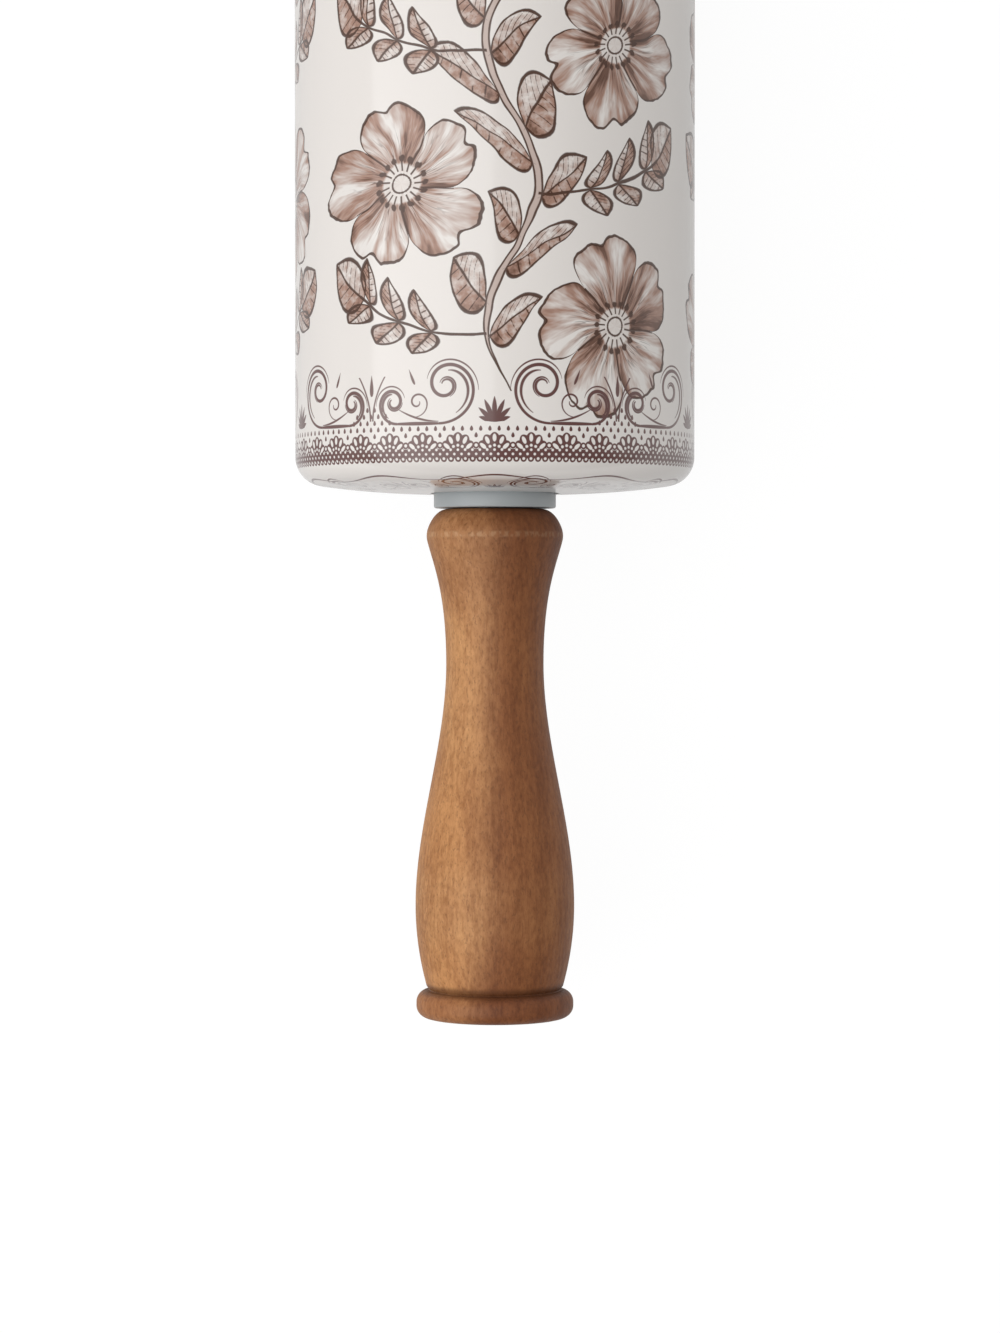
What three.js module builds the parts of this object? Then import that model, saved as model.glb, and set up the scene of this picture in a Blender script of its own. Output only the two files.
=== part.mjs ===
// Ceramic rolling pin: a hollow glazed barrel that turns on a steel axle between two turned wooden handles.
// Millimetres. The pin lies along X with its origin at the barrel's centre, it rolls along Y, and Z is up.
import * as THREE from "three";

// Barrel: a slip-cast shell with a hole in each end wall
const barrelDiameter = 70;
const barrelLength = 240;
const barrelWall = 6;
const barrelEndWall = 8;
const barrelCorner = 5;
const barrelInnerCorner = 9;
const barrelCrown = 1.3; // how far each end face swells past its corner
const seatMargin = 0.6; // round the bush flange
const seatDepth = 0.6; // of the sunk seat under the bush flange

// Axle: a rod with a smaller threaded length at each end
const axleDiameter = 8;
const axleShoulder = 1;
const threadPast = 13; // beyond the insert
const threadLead = 0.8;

// Bush: a flanged plastic bearing in each end wall
const bushWall = 2.2;
const bushTail = 5; // spigot beyond the grommet's lip
const bushFlangeLip = 2.45;
const bushFlangeThickness = 2.9;
const bushTrack = 0.45; // depth of the track that the washer runs in
const bushEdge = 0.35;

// Grommet: a soft lipped ring that beds the bush in the fired hole
const grommetWall = 1.3;
const grommetLip = 1.2;
const grommetLipThickness = 1.5;

// Washer: a wear plate between the mouth of each handle and the bush, let into both
const washerWidth = 2.2;
const washerThickness = 1.2;

// Insert: a barbed threaded sleeve in each handle
const insertWall = 2;
const insertBarb = 0.5;
const insertBarbs = 6;
const insertLength = 21;

// Handle: stretches along the axis, from the mouth to the end
const mouthRim = 1.5;
const shoulderLength = 4.55;
const neckLength = 22.6;
const swellLength = 42.4;
const bellyLength = 14.15;
const grooveWidth = 0.7;
const ringHeight = 4.85;

// Handle: diameters along those stretches
const shoulderDiameter = 24.2;
const waistDiameter = 17.1;
const bellyDiameter = 27.9;
const throatDiameter = 24; // where the belly meets the groove above the end ring
const grooveDepth = 0.45;
const ringDiameter = 27.6;
const ringRound = 2.1;
const beadShort = 0.4; // how far the bead's quarter ellipse stops short, in radians
const neckFall = 0.2; // slope of the neck where it leaves the shoulder's arris
const neckTurn = 0.2; // where the neck's curve bends, as shares of its length
const neckDraw = 0.4;
const boreTip = 1.5;

// Clearances
const runningGap = 0.15; // axle in bush, on the radius
const fitGap = 0.3; // between pieces that are fixed to each other
const endFloat = 0.3; // bush track to washer
const mouthGap = 0.15; // bush flange to handle
const tipRoom = 2; // beyond the axle's tip in the handle

// Facets
const barrelSides = 48;
const handleSides = 36;
const smallSides = 32;
const cornerSteps = 5;
const crownSteps = 4;
const curveSteps = 9;

const QUARTER = Math.PI / 2;

// Radii, from the axle outwards
const axleRadius = axleDiameter / 2;
const threadRadius = axleRadius - axleShoulder;
const bushBore = axleRadius + runningGap;
const spigotRadius = bushBore + bushWall;
const grommetBore = spigotRadius + fitGap;
const grommetRadius = grommetBore + grommetWall;
const holeRadius = grommetRadius + fitGap;
const flangeRadius = holeRadius + bushFlangeLip;
const seatRadius = flangeRadius + seatMargin;
const barrelRadius = barrelDiameter / 2;
const washerBore = axleRadius + fitGap;
const washerRadius = washerBore + washerWidth;
const recessRadius = washerRadius + fitGap;
const mouthRadius = recessRadius + mouthRim;
const insertBore = threadRadius + fitGap;
const insertRadius = insertBore + insertWall;
const insertSocket = insertRadius + insertBarb + fitGap;
const pilotRadius = threadRadius + fitGap;

// Places along the axis, outwards from the barrel's centre
const endFace = barrelLength / 2;
const innerFace = endFace - barrelEndWall;
const seatFloor = endFace - seatDepth;
const lipOuter = innerFace - fitGap;
const lipInner = lipOuter - grommetLipThickness;
const spigotEnd = lipInner - bushTail;
const flangeInner = seatFloor + fitGap;
const flangeOuter = flangeInner + bushFlangeThickness;
const trackFloor = flangeOuter - bushTrack;
const washerFace = trackFloor + endFloat;
const handleMouth = flangeOuter + mouthGap;
const recessFloor = washerFace + washerThickness + fitGap;
const insertFace = recessFloor + fitGap;
const insertEnd = insertFace + insertLength;
const axleStep = insertFace - fitGap;
const axleTip = insertEnd + threadPast;

const finishes = {
  glaze: { color: 0xe6e3df, roughness: 0.12, metalness: 0 },
  wood: { color: 0x9a6540, roughness: 0.5, metalness: 0 },
  greyPlastic: { color: 0x90979a, roughness: 0.45, metalness: 0 },
  silicone: { color: 0xb9bcb8, roughness: 0.7, metalness: 0 },
  steel: { color: 0xb4b6b8, roughness: 0.3, metalness: 1 },
  brass: { color: 0xb5914c, roughness: 0.35, metalness: 1 },
};

const point = (radius, along) => new THREE.Vector2(radius, along);

// Points of a round corner from one angle to another; angle 0 faces away from the axis.
function corner(radius, along, size, from, to) {
  return new THREE.EllipseCurve(radius, along, size, size, from, to, to < from).getPoints(cornerSteps);
}

// One solid of revolution about the pin's axis. A facet, and not an edge, faces down.
function turned(name, outline, sides, finish) {
  const shape = new THREE.LatheGeometry(outline, sides, Math.PI / sides);
  const mesh = new THREE.Mesh(shape, new THREE.MeshStandardMaterial(finish));
  mesh.name = name;
  return mesh;
}

// One end of the shell: round corner, crowned end face, sunk seat, hole and inner corner.
function barrelEnd() {
  const cornerCentre = barrelRadius - barrelCorner;
  const crownBend = (seatRadius + cornerCentre) / 2;
  const crownAngle = Math.atan2(barrelCrown, cornerCentre - crownBend);
  const crownStart = cornerCentre + barrelCorner * Math.sin(crownAngle);
  const cornerPlace = endFace - barrelCrown - barrelCorner * Math.cos(crownAngle);
  const crown = new THREE.QuadraticBezierCurve(
    point(crownStart, endFace - barrelCrown),
    point(crownBend + barrelCorner * Math.sin(crownAngle), endFace),
    point(seatRadius, endFace),
  );
  const innerCentre = barrelRadius - barrelWall - barrelInnerCorner;
  return [
    ...corner(cornerCentre, cornerPlace, barrelCorner, 0, QUARTER - crownAngle),
    ...crown.getPoints(crownSteps).slice(1),
    point(seatRadius, seatFloor),
    point(holeRadius, seatFloor),
    point(holeRadius, innerFace),
    ...corner(innerCentre, innerFace - barrelInnerCorner, barrelInnerCorner, QUARTER, 0),
  ];
}

function barrel() {
  const end = barrelEnd();
  const otherEnd = end.map((p) => point(p.x, -p.y)).reverse();
  return turned("barrel", [...end, ...otherEnd, end[0]], barrelSides, finishes.glaze);
}

function axleRod() {
  const end = [
    point(axleRadius, axleStep),
    point(threadRadius, axleStep),
    point(threadRadius, axleTip - threadLead),
    point(threadRadius - threadLead, axleTip),
    point(0, axleTip),
  ];
  const otherEnd = end.map((p) => point(p.x, -p.y)).reverse();
  return turned("axle_rod", [...otherEnd, ...end], smallSides, finishes.steel);
}

// Flange in the seat with a track in its face, and a spigot through the wall.
function endBush(side) {
  const outline = [
    point(bushBore, spigotEnd),
    point(spigotRadius - bushEdge, spigotEnd),
    point(spigotRadius, spigotEnd + bushEdge),
    point(spigotRadius, flangeInner),
    point(flangeRadius - bushEdge, flangeInner),
    point(flangeRadius, flangeInner + bushEdge),
    point(flangeRadius, flangeOuter - bushEdge),
    point(flangeRadius - bushEdge, flangeOuter),
    point(recessRadius, flangeOuter),
    point(recessRadius, trackFloor),
    point(bushBore, trackFloor),
    point(bushBore, spigotEnd),
  ];
  return turned(`end_bush_${side}`, outline, smallSides, finishes.greyPlastic);
}

// A sleeve in the hole with a lip that catches behind the end wall.
function bushGrommet(side) {
  const outline = [
    point(grommetBore, lipInner),
    point(holeRadius + grommetLip, lipInner),
    point(holeRadius + grommetLip, lipOuter),
    point(grommetRadius, lipOuter),
    point(grommetRadius, seatFloor),
    point(grommetBore, seatFloor),
    point(grommetBore, lipInner),
  ];
  return turned(`bush_grommet_${side}`, outline, smallSides, finishes.silicone);
}

function wearWasher(side) {
  const back = washerFace + washerThickness;
  const outline = [
    point(washerBore, washerFace),
    point(washerRadius, washerFace),
    point(washerRadius, back),
    point(washerBore, back),
    point(washerBore, washerFace),
  ];
  return turned(`wear_washer_${side}`, outline, smallSides, finishes.steel);
}

// Saw-tooth barbs, each sloping so that the sleeve goes in and stays in.
function handleInsert(side) {
  const pitch = insertLength / insertBarbs;
  const barbs = [];
  for (let i = 0; i < insertBarbs; i++) {
    barbs.push(point(insertRadius + insertBarb, insertFace + i * pitch));
    barbs.push(point(insertRadius, insertFace + (i + 1) * pitch));
  }
  const outline = [
    point(insertBore, insertFace),
    ...barbs,
    point(insertBore, insertEnd),
    point(insertBore, insertFace),
  ];
  return turned(`handle_insert_${side}`, outline, smallSides, finishes.brass);
}

// Outside of a handle from its mouth to its end: shoulder, neck, waist, belly, groove and end ring.
function handleOutside() {
  const shoulder = handleMouth + shoulderLength;
  const waist = shoulder + neckLength;
  const belly = waist + swellLength;
  const groove = belly + bellyLength;
  const ring = groove + grooveWidth;
  const end = ring + ringHeight;
  const shoulderRadius = shoulderDiameter / 2;
  const waistRadius = waistDiameter / 2;
  const bellyRadius = bellyDiameter / 2;
  const throatRadius = throatDiameter / 2;
  const ringEase = Math.min(ringRound, ringHeight / 2);
  const ringCentre = ringDiameter / 2 - ringEase;
  const beadReach = shoulderLength / (1 - Math.sin(beadShort));
  const bead = new THREE.EllipseCurve(
    mouthRadius,
    handleMouth + beadReach,
    (shoulderRadius - mouthRadius) / Math.cos(beadShort),
    beadReach,
    -QUARTER,
    -beadShort,
  );
  const neck = new THREE.CubicBezierCurve(
    point(shoulderRadius, shoulder),
    point(shoulderRadius - neckFall * neckTurn * neckLength, shoulder + neckTurn * neckLength),
    point(waistRadius, shoulder + neckDraw * neckLength),
    point(waistRadius, waist),
  );
  const swell = new THREE.CubicBezierCurve(
    point(waistRadius, waist),
    point(waistRadius, waist + swellLength / 3),
    point(bellyRadius, belly - swellLength / 3),
    point(bellyRadius, belly),
  );
  const draw = new THREE.QuadraticBezierCurve(
    point(bellyRadius, belly),
    point(bellyRadius, belly + bellyLength / 2),
    point(throatRadius, groove),
  );
  return [
    ...bead.getPoints(cornerSteps),
    ...neck.getPoints(curveSteps).slice(1),
    ...swell.getPoints(curveSteps).slice(1),
    ...draw.getPoints(cornerSteps).slice(1),
    point(throatRadius - grooveDepth, ring),
    ...corner(ringCentre, ring + ringEase, ringEase, -QUARTER, 0),
    ...corner(ringCentre, end - ringEase, ringEase, 0, QUARTER),
    point(0, end),
  ];
}

// Inside of a handle from the bottom of its bore to its mouth.
function handleBore() {
  const pilotEnd = axleTip + tipRoom;
  return [
    point(0, pilotEnd + boreTip),
    point(pilotRadius, pilotEnd),
    point(pilotRadius, insertEnd + fitGap),
    point(insertSocket, insertEnd + fitGap),
    point(insertSocket, recessFloor),
    point(recessRadius, recessFloor),
    point(recessRadius, handleMouth),
  ];
}

function handle(side) {
  return turned(`handle_${side}`, [...handleBore(), ...handleOutside()], handleSides, finishes.wood);
}

// The lathe turns about Y, so each end is laid over to its own way along X.
function laidAlong(turn, pieces) {
  const group = new THREE.Group();
  group.rotation.z = turn;
  group.add(...pieces);
  return group;
}

function endPieces(side) {
  return [endBush(side), bushGrommet(side), wearWasher(side), handleInsert(side), handle(side)];
}

const rollingPin = new THREE.Group();
rollingPin.add(
  laidAlong(-QUARTER, [barrel(), axleRod()]),
  laidAlong(-QUARTER, endPieces("right")),
  laidAlong(QUARTER, endPieces("left")),
);

export default rollingPin;
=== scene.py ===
"""Dresses the ceramic rolling pin: printed glazed barrel, turned handles, bearings, axle and stage."""

import itertools
import math

import bmesh
import bpy
from bpy.props import FloatProperty, FloatVectorProperty, IntProperty, PointerProperty
from mathutils import Matrix, Vector


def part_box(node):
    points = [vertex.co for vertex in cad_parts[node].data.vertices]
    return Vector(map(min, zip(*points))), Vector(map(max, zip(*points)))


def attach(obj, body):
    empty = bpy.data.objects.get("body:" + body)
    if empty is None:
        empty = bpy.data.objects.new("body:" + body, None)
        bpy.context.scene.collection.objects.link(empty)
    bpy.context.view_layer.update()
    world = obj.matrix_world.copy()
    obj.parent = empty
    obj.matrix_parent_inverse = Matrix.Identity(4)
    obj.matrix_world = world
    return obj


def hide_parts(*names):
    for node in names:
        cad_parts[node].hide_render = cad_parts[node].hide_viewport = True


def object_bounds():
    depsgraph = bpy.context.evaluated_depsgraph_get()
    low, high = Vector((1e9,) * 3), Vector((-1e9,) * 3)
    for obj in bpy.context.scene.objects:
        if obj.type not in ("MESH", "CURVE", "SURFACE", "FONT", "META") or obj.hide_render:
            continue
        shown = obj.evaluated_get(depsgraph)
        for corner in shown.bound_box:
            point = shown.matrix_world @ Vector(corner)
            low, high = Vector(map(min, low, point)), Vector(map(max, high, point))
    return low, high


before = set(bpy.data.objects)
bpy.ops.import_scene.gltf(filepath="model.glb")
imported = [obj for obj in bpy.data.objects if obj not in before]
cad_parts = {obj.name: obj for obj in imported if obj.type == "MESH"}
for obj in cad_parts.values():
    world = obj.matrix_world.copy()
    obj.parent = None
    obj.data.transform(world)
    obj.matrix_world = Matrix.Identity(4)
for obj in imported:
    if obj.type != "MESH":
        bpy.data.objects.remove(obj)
CAD_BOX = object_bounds()

bl_info = {
    "name": "Rolling Pin",
    "version": (1, 0, 0),
    "blender": (4, 5, 0),
    "location": "View3D > Sidebar > Rolling Pin",
    "description": "Models a printed ceramic rolling pin with turned wooden handles",
    "category": "Object",
}

MM = 0.001
TAU = math.tau
QUARTER = math.pi / 2
WHITE = (1.0, 1.0, 1.0, 1.0)
SIDES = {"right": 1, "left": -1}
BARREL_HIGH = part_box("barrel")[1]
HANDLE_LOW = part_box("handle_right")[0]
FLANGE_LOW, FLANGE_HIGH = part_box("end_bush_right")


def length(name, description, millimetres):
    """A property that holds one length, which Blender keeps in metres."""
    return FloatProperty(
        name=name, description=description, default=millimetres * MM, unit="LENGTH", precision=5
    )


def colour(name, description, default):
    """A property that holds one linear colour."""
    return FloatVectorProperty(
        name=name, description=description, default=default, subtype="COLOR", size=3, min=0.0, max=1.0
    )


def count(name, description, default):
    """A property that holds a whole number."""
    return IntProperty(name=name, description=description, default=default)


def watts(name, description, default):
    """A property that holds a lamp's power."""
    return FloatProperty(name=name, description=description, default=default, unit="POWER")


class BarrelSettings(bpy.types.PropertyGroup):
    """Sizes and glaze of the barrel."""

    radius: length("Radius", "Outside radius", BARREL_HIGH.z / MM)
    half: length("Half length", "Centre to end face", BARREL_HIGH.x / MM)
    wall: length("Wall", "Thickness of the side wall", 6)
    end_wall: length("End wall", "Thickness of the end walls", 8)
    corner: length("Corner", "Radius of the outer corners", 5)
    inner_corner: length("Inner corner", "Radius of the inner corners", 9)
    crown: length("Crown", "How far each end face swells past its corner", 1.3)
    hole: length("Hole", "Radius of the hole in each end", 8.25)
    seat: length("Seat", "Radius of the sunk seat under the bush", 11.3)
    seat_depth: length("Seat depth", "Depth of the sunk seat", 0.6)
    glaze: colour("Glaze", "White of the glaze", (0.80, 0.757, 0.72))


class PrintSettings(bpy.types.PropertyGroup):
    """Colours and spacing of the print."""

    line: colour("Line", "Ink of the drawn lines", (0.06, 0.021, 0.009))
    wash: colour("Wash", "Tone of the shaded petals and leaves", (0.35, 0.178, 0.118))
    deep: colour("Deep wash", "Tone of the darkest petals and leaves", (0.105, 0.04, 0.02))
    border: colour("Border", "Ink of the lace and scrolls", (0.125, 0.054, 0.049))
    fans: count("Fans", "Lace fans round the barrel", 36)
    scrolls: count("Scrolls", "Mirrored pairs of scrolls round the barrel", 5)
    vines: count("Vines", "Vines round the barrel", 3)
    lace_edge: length("Lace edge", "End face to the lace's lower edge", 4.2)


class HandleSettings(bpy.types.PropertyGroup):
    """Sizes, stain, painted shade and painted highlights of the handles."""

    mouth: length("Mouth", "Barrel's centre to the handle's mouth", HANDLE_LOW.x / MM)
    shoulder_length: length("Shoulder length", "Mouth to arris", 4.55)
    neck_length: length("Neck length", "Arris to waist", 22.6)
    swell_length: length("Swell length", "Waist to belly", 42.4)
    belly_length: length("Belly length", "Belly to groove", 14.15)
    groove_width: length("Groove width", "Width of the groove", 0.7)
    groove_depth: length("Groove depth", "Depth of the groove", 0.45)
    ring_height: length("Ring height", "Height of the end ring", 4.85)
    ring_round: length("Ring round", "Radius of the end ring's edges", 2.1)
    mouth_radius: length("Mouth radius", "Radius at the mouth", 8.3)
    recess_radius: length("Recess radius", "Radius of the washer's recess", 6.8)
    socket_radius: length("Socket radius", "Radius of the insert's socket", 6.1)
    bore_radius: length("Bore radius", "Radius of the axle's bore", 3.3)
    fit_gap: length("Fit gap", "Room behind the washer and the insert", 0.3)
    tip_room: length("Tip room", "Room beyond the axle's tip", 2)
    shoulder_radius: length("Shoulder radius", "Radius at the arris", 12.1)
    arris_round: length("Arris round", "How far the arris is rounded on each side", 0.8)
    waist_radius: length("Waist radius", "Radius at the waist", 8.55)
    belly_radius: length("Belly radius", "Radius at the belly", 13.95)
    throat_radius: length("Throat radius", "Radius beside the groove", 12)
    ring_radius: length("Ring radius", "Radius of the end ring", 13.8)
    pale: colour("Pale wood", "Stained early wood", (0.62, 0.312, 0.124))
    dark: colour("Dark wood", "Stained late wood", (0.38, 0.162, 0.052))
    # Painted shade: tint of the half of each handle that faces away from the key light
    shaded_half: colour("Heartwood", "Tint of the darker half", (0.49, 0.36, 0.282))
    # Painted shade: tint of the bead and neck under the barrel
    shoulder_shade: colour("Shoulder", "Tint of the darker shoulder", (0.66, 0.58, 0.58))
    cloud: colour("Cloud", "Tint of the blotches in the stain", (0.8, 0.72, 0.66))
    belly: colour("Belly", "Tint of the richer belly", (0.92, 0.855, 0.77))
    ring: colour("Ring", "Tint of the redder end ring", (0.74, 0.64, 0.62))
    # Rubbed-off stain and a painted highlight along the arris
    rubbed_and_highlight: colour("Rubbed", "Wood where the stain is rubbed off", (0.66, 0.4, 0.21))
    pore: colour("Pores", "Stain held in pores and grooves", (0.085, 0.028, 0.009))


class BearingSettings(bpy.types.PropertyGroup):
    """Sizes and colours of the bushes, grommets, axle, washers and inserts."""

    bore: length("Bore", "Radius of the bush's bore", 4.15)
    spigot: length("Spigot", "Radius of the bush's spigot", 6.35)
    flange: length("Flange", "Radius of the bush's flange", 10.7)
    flange_inner: length("Flange inner", "Barrel's centre to the flange's inner face", 119.7)
    flange_outer: length("Flange outer", "Barrel's centre to the flange's outer face", FLANGE_HIGH.x / MM)
    spigot_end: length("Spigot end", "Barrel's centre to the spigot's end", FLANGE_LOW.x / MM)
    track: length("Track", "Radius of the washer's track in the flange", 6.8)
    track_depth: length("Track depth", "Depth of the washer's track", 0.45)
    edge: length("Edge", "Radius of the eased edges", 0.35)
    grommet_bore: length("Grommet bore", "Radius of the grommet's bore", 6.65)
    grommet_radius: length("Grommet radius", "Radius of the grommet's sleeve", 7.95)
    grommet_lip: length("Grommet lip", "Radius of the grommet's lip", 9.45)
    grommet_lip_width: length("Grommet lip width", "Width of the grommet's lip", 1.5)
    axle: length("Axle", "Radius of the axle", 4)
    thread: length("Thread", "Outer radius of the thread", 3)
    thread_pitch: length("Thread pitch", "Pitch of the thread", 1)
    insert_bore: length("Insert bore", "Radius of the insert's bore", 3.3)
    insert_radius: length("Insert radius", "Radius between the insert's barbs", 5.3)
    insert_barb: length("Insert barb", "Height of the insert's barbs", 0.5)
    insert_barbs: count("Insert barbs", "Barbs on each insert", 6)
    washer_bore: length("Washer bore", "Radius of the washer's bore", 4.3)
    washer_radius: length("Washer radius", "Radius of the washer", 6.5)
    plastic: colour("Plastic", "Grey of the bushes", (0.405, 0.438, 0.45))
    silicone: colour("Silicone", "Grey of the grommets", (0.48, 0.50, 0.48))
    steel: colour("Steel", "Steel of the axle and washers", (0.60, 0.605, 0.61))
    brass: colour("Brass", "Brass of the inserts", (0.70, 0.48, 0.20))


class StageSettings(bpy.types.PropertyGroup):
    """Camera, floor and lights."""

    lens: FloatProperty(name="Lens", description="Focal length in mm on a 36 mm long side", default=91.7)
    pitch: FloatProperty(
        name="Pitch",
        description="Camera's lean towards the handle",
        default=math.radians(1.16),
        subtype="ANGLE",
    )
    foot: length("Foot", "Barrel's end face to the point under the camera", 18.3)
    height: length("Height", "Axle to camera", 596)
    offset: length("Offset", "Camera's place across the pin", 0.9)
    key: watts("Key", "Power of the soft light on the left", 5.45)
    scrim: watts("Scrim", "Power of the light overhead", 1.6)
    ambient: FloatProperty(name="Ambient", description="Strength of the world's light", default=0.63)
    floor: colour("Floor", "White of the floor", (0.6, 0.6, 0.6))


class PinSettings(bpy.types.PropertyGroup):
    """All settings of the rolling pin."""

    barrel: PointerProperty(type=BarrelSettings)
    print: PointerProperty(type=PrintSettings)
    handle: PointerProperty(type=HandleSettings)
    bearing: PointerProperty(type=BearingSettings)
    stage: PointerProperty(type=StageSettings)


# Shader wiring


def math_method(operation, reflected=False):
    """An operator of a wire that adds a Math node."""

    def method(self, value):
        values = (value, self) if reflected else (self, value)
        return self.paint.math(operation, *values)

    return method


class Wire:
    """An output socket. Arithmetic on wires and numbers adds Math nodes."""

    __add__ = __radd__ = math_method("ADD")
    __sub__ = math_method("SUBTRACT")
    __rsub__ = math_method("SUBTRACT", reflected=True)
    __mul__ = __rmul__ = math_method("MULTIPLY")
    __truediv__ = math_method("DIVIDE")
    __rtruediv__ = math_method("DIVIDE", reflected=True)
    __pow__ = math_method("POWER")
    __lt__ = math_method("LESS_THAN")
    __gt__ = math_method("GREATER_THAN")

    def __init__(self, paint, socket):
        self.paint = paint
        self.socket = socket

    def __abs__(self):
        return self.paint.math("ABSOLUTE", self)

    def within(self, low, high):
        """1 between two values, and 0 elsewhere."""
        return (self > low) * (self < high)

    def other(self, name):
        """Another output of the same node."""
        return Wire(self.paint, self.socket.node.outputs[name])


class Paint:
    """The nodes of a material or a world, which are added by expressions."""

    def __init__(self, owner):
        owner.use_nodes = True
        self.owner = owner
        self.tree = owner.node_tree
        self.tree.nodes.clear()

    def node(self, kind, settings=(), sockets=(), output=0):
        """Adds one node, sets it up, feeds its sockets and gives one of its outputs."""
        node = self.tree.nodes.new("ShaderNode" + kind)
        for name, value in dict(settings).items():
            setattr(node, name, value)
        for key, value in dict(sockets).items():
            if isinstance(value, Wire):
                self.tree.links.new(value.socket, node.inputs[key])
            else:
                node.inputs[key].default_value = value
        return Wire(self, node.outputs[output]) if node.outputs else None

    def math(self, operation, *values):
        return self.node("Math", {"operation": operation}, enumerate(values))

    def ramp(self, value, start, end):
        """Eases from 0 where value is start to 1 where it is end."""
        sockets = {"Value": value, "From Min": start, "From Max": end}
        return self.node("MapRange", {"interpolation_type": "SMOOTHSTEP"}, sockets)

    def most(self, first, *rest):
        """The largest of several values."""
        for value in rest:
            first = self.math("MAXIMUM", first, value)
        return first

    def clamp(self, value):
        return self.node("Clamp", {}, {"Value": value})

    def fold(self, value, pitch):
        """Repeats a length, so that it runs from minus half a pitch to plus half a pitch."""
        return self.math("WRAP", value, pitch / 2, -pitch / 2)

    def reach(self, across, along):
        """Distance from the origin."""
        return self.math("SQRT", across * across + along * along)

    def stroke(self, distance, half_width, soft=0.06):
        """Ink of a line from the distance to its middle, all in millimetres."""
        return self.ramp(abs(distance), half_width + soft, half_width - soft)

    def place(self):
        """Object coordinates in metres."""
        return self.node("TexCoord", output="Object")

    def split(self, vector):
        """The three parts of a vector."""
        parts = self.node("SeparateXYZ", {}, {0: vector})
        return parts, parts.other("Y"), parts.other("Z")

    def join(self, x, y, z=0.0):
        return self.node("CombineXYZ", {}, {0: x, 1: y, 2: z})

    def noise(self, vector, scale, detail=2.0, roughness=0.5, output=0):
        sockets = {"Vector": vector, "Scale": scale, "Detail": detail, "Roughness": roughness}
        return self.node("TexNoise", {}, sockets, output)

    def streaks(self, place, along, across, detail=2.0, roughness=0.5):
        """Noise with one scale along the axle and another across it."""
        scale = (along, across, across)
        stretched = self.node("VectorMath", {"operation": "MULTIPLY"}, {0: place, 1: scale})
        return self.noise(stretched, 1.0, detail, roughness)

    def chance(self, x, y, z):
        """A random colour for each triple of whole numbers."""
        return self.node("TexWhiteNoise", {}, {"Vector": self.join(x, y, z)}, "Color")

    def blend(self, amount, first, second, kind="MIX"):
        """Mixes two colours."""
        settings = {"data_type": "RGBA", "blend_type": kind}
        return self.node("Mix", settings, {0: amount, 6: first, 7: second}, 2)

    def tint(self, amount, first, second):
        """Multiplies a colour by another."""
        return self.blend(amount, first, second, "MULTIPLY")

    def finish(self, base, roughness, relief, depth, **others):
        """Ends the material in a Principled surface with a relief of some depth in metres."""
        normal = self.node("Bump", {}, {"Height": relief, "Distance": depth, "Strength": 1.0})
        sockets = {"Base Color": base, "Roughness": roughness, "Normal": normal, **others}
        self.node("OutputMaterial", {}, {"Surface": self.node("BsdfPrincipled", {}, sockets)})
        return self.owner


def new_paint(name):
    """The empty nodes of a new material."""
    return Paint(bpy.data.materials.new(name))


def rgba(values, share=1.0):
    """A colour for a socket, darkened to a share of itself."""
    return (*(part * share for part in values), 1.0)


# Print on the barrel; lengths in these functions are millimetres


def lace(paint, arc, rise, pitch):
    """Edging of looped fans on a mesh of small holes."""
    fan_foot, hem_middle, picot_rise, knot_rise = 1.2, 1.3, 0.5, 2.7
    across = paint.fold(arc, pitch)
    up = rise - fan_foot
    reach = paint.reach(across, up)
    angle = paint.math("ARCTAN2", across, up)
    loop = paint.fold(angle, math.radians(27)) * reach
    middle = 2.25 + 0.5 * paint.math("COSINE", angle * 1.5)
    outside = paint.most(reach - middle - 0.92 + loop * loop * 0.75, up * -1.0)
    fan = paint.ramp(outside, 0.06, -0.06)
    fan = fan * paint.ramp(paint.reach(loop / 0.32, (reach - middle) / 0.64), 0.85, 1.15)
    spot = paint.reach(paint.fold(angle, math.radians(30)) * reach, reach - 1.5)
    fan = fan * paint.ramp(spot, 0.16, 0.32)
    step = pitch / 5
    hem = paint.ramp(abs(rise - hem_middle), 0.86, 0.74)
    picot = paint.reach(paint.fold(arc, step), rise - picot_rise)
    hem = paint.most(hem, paint.ramp(picot, 0.6, 0.48), fan) * paint.ramp(picot, 0.16, 0.3)
    for row, height in enumerate((1.25, 1.95)):
        spot = paint.reach(paint.fold(arc + step * (row + 1) / 2, step), rise - height)
        hem = hem * paint.ramp(spot, 0.15, 0.28)
    knot = paint.reach(paint.fold(arc + pitch / 2, pitch), rise - knot_rise)
    return paint.most(hem, paint.ramp(abs(knot - 0.42), 0.2, 0.1))


def drops(paint, arc, rise, pitch, gap):
    """Rows of teardrops between the fans and the scrolls, heaped where the scrolls leave a gap."""
    row_height, fan_foot, fan_reach, lowest = 1.1, 1.2, 4.15, 3.0
    row = paint.math("ROUND", rise / row_height)
    height = row * row_height
    across = paint.fold(arc + row * (pitch / 8), pitch / 4)
    middle = arc - across
    from_fan = paint.reach(paint.fold(middle, pitch), height - fan_foot)
    from_gap = abs(paint.fold(middle + gap / 2, gap))
    highest = 6.0 + paint.ramp(from_gap, 6.0, 1.0) * 3.5
    kept = (from_fan > fan_reach) * height.within(lowest, highest)
    up = (rise - height) / 0.44
    across = across / (0.27 - up * 0.1)
    return paint.ramp(across * across + up * up, 1.15, 0.75) * kept


def volute(paint, across, up, outer, growth):
    """Offset from a spiral that winds in from below its centre, and the angle wound there."""
    reach = paint.reach(across, up)
    angle = paint.math("ARCTAN2", across * -1.0, up * -1.0)
    wound = paint.math("LOGARITHM", reach / outer, math.e) * (-1 / growth)
    behind = paint.fold(wound - angle, TAU)
    return behind * reach * growth, wound - behind


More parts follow.
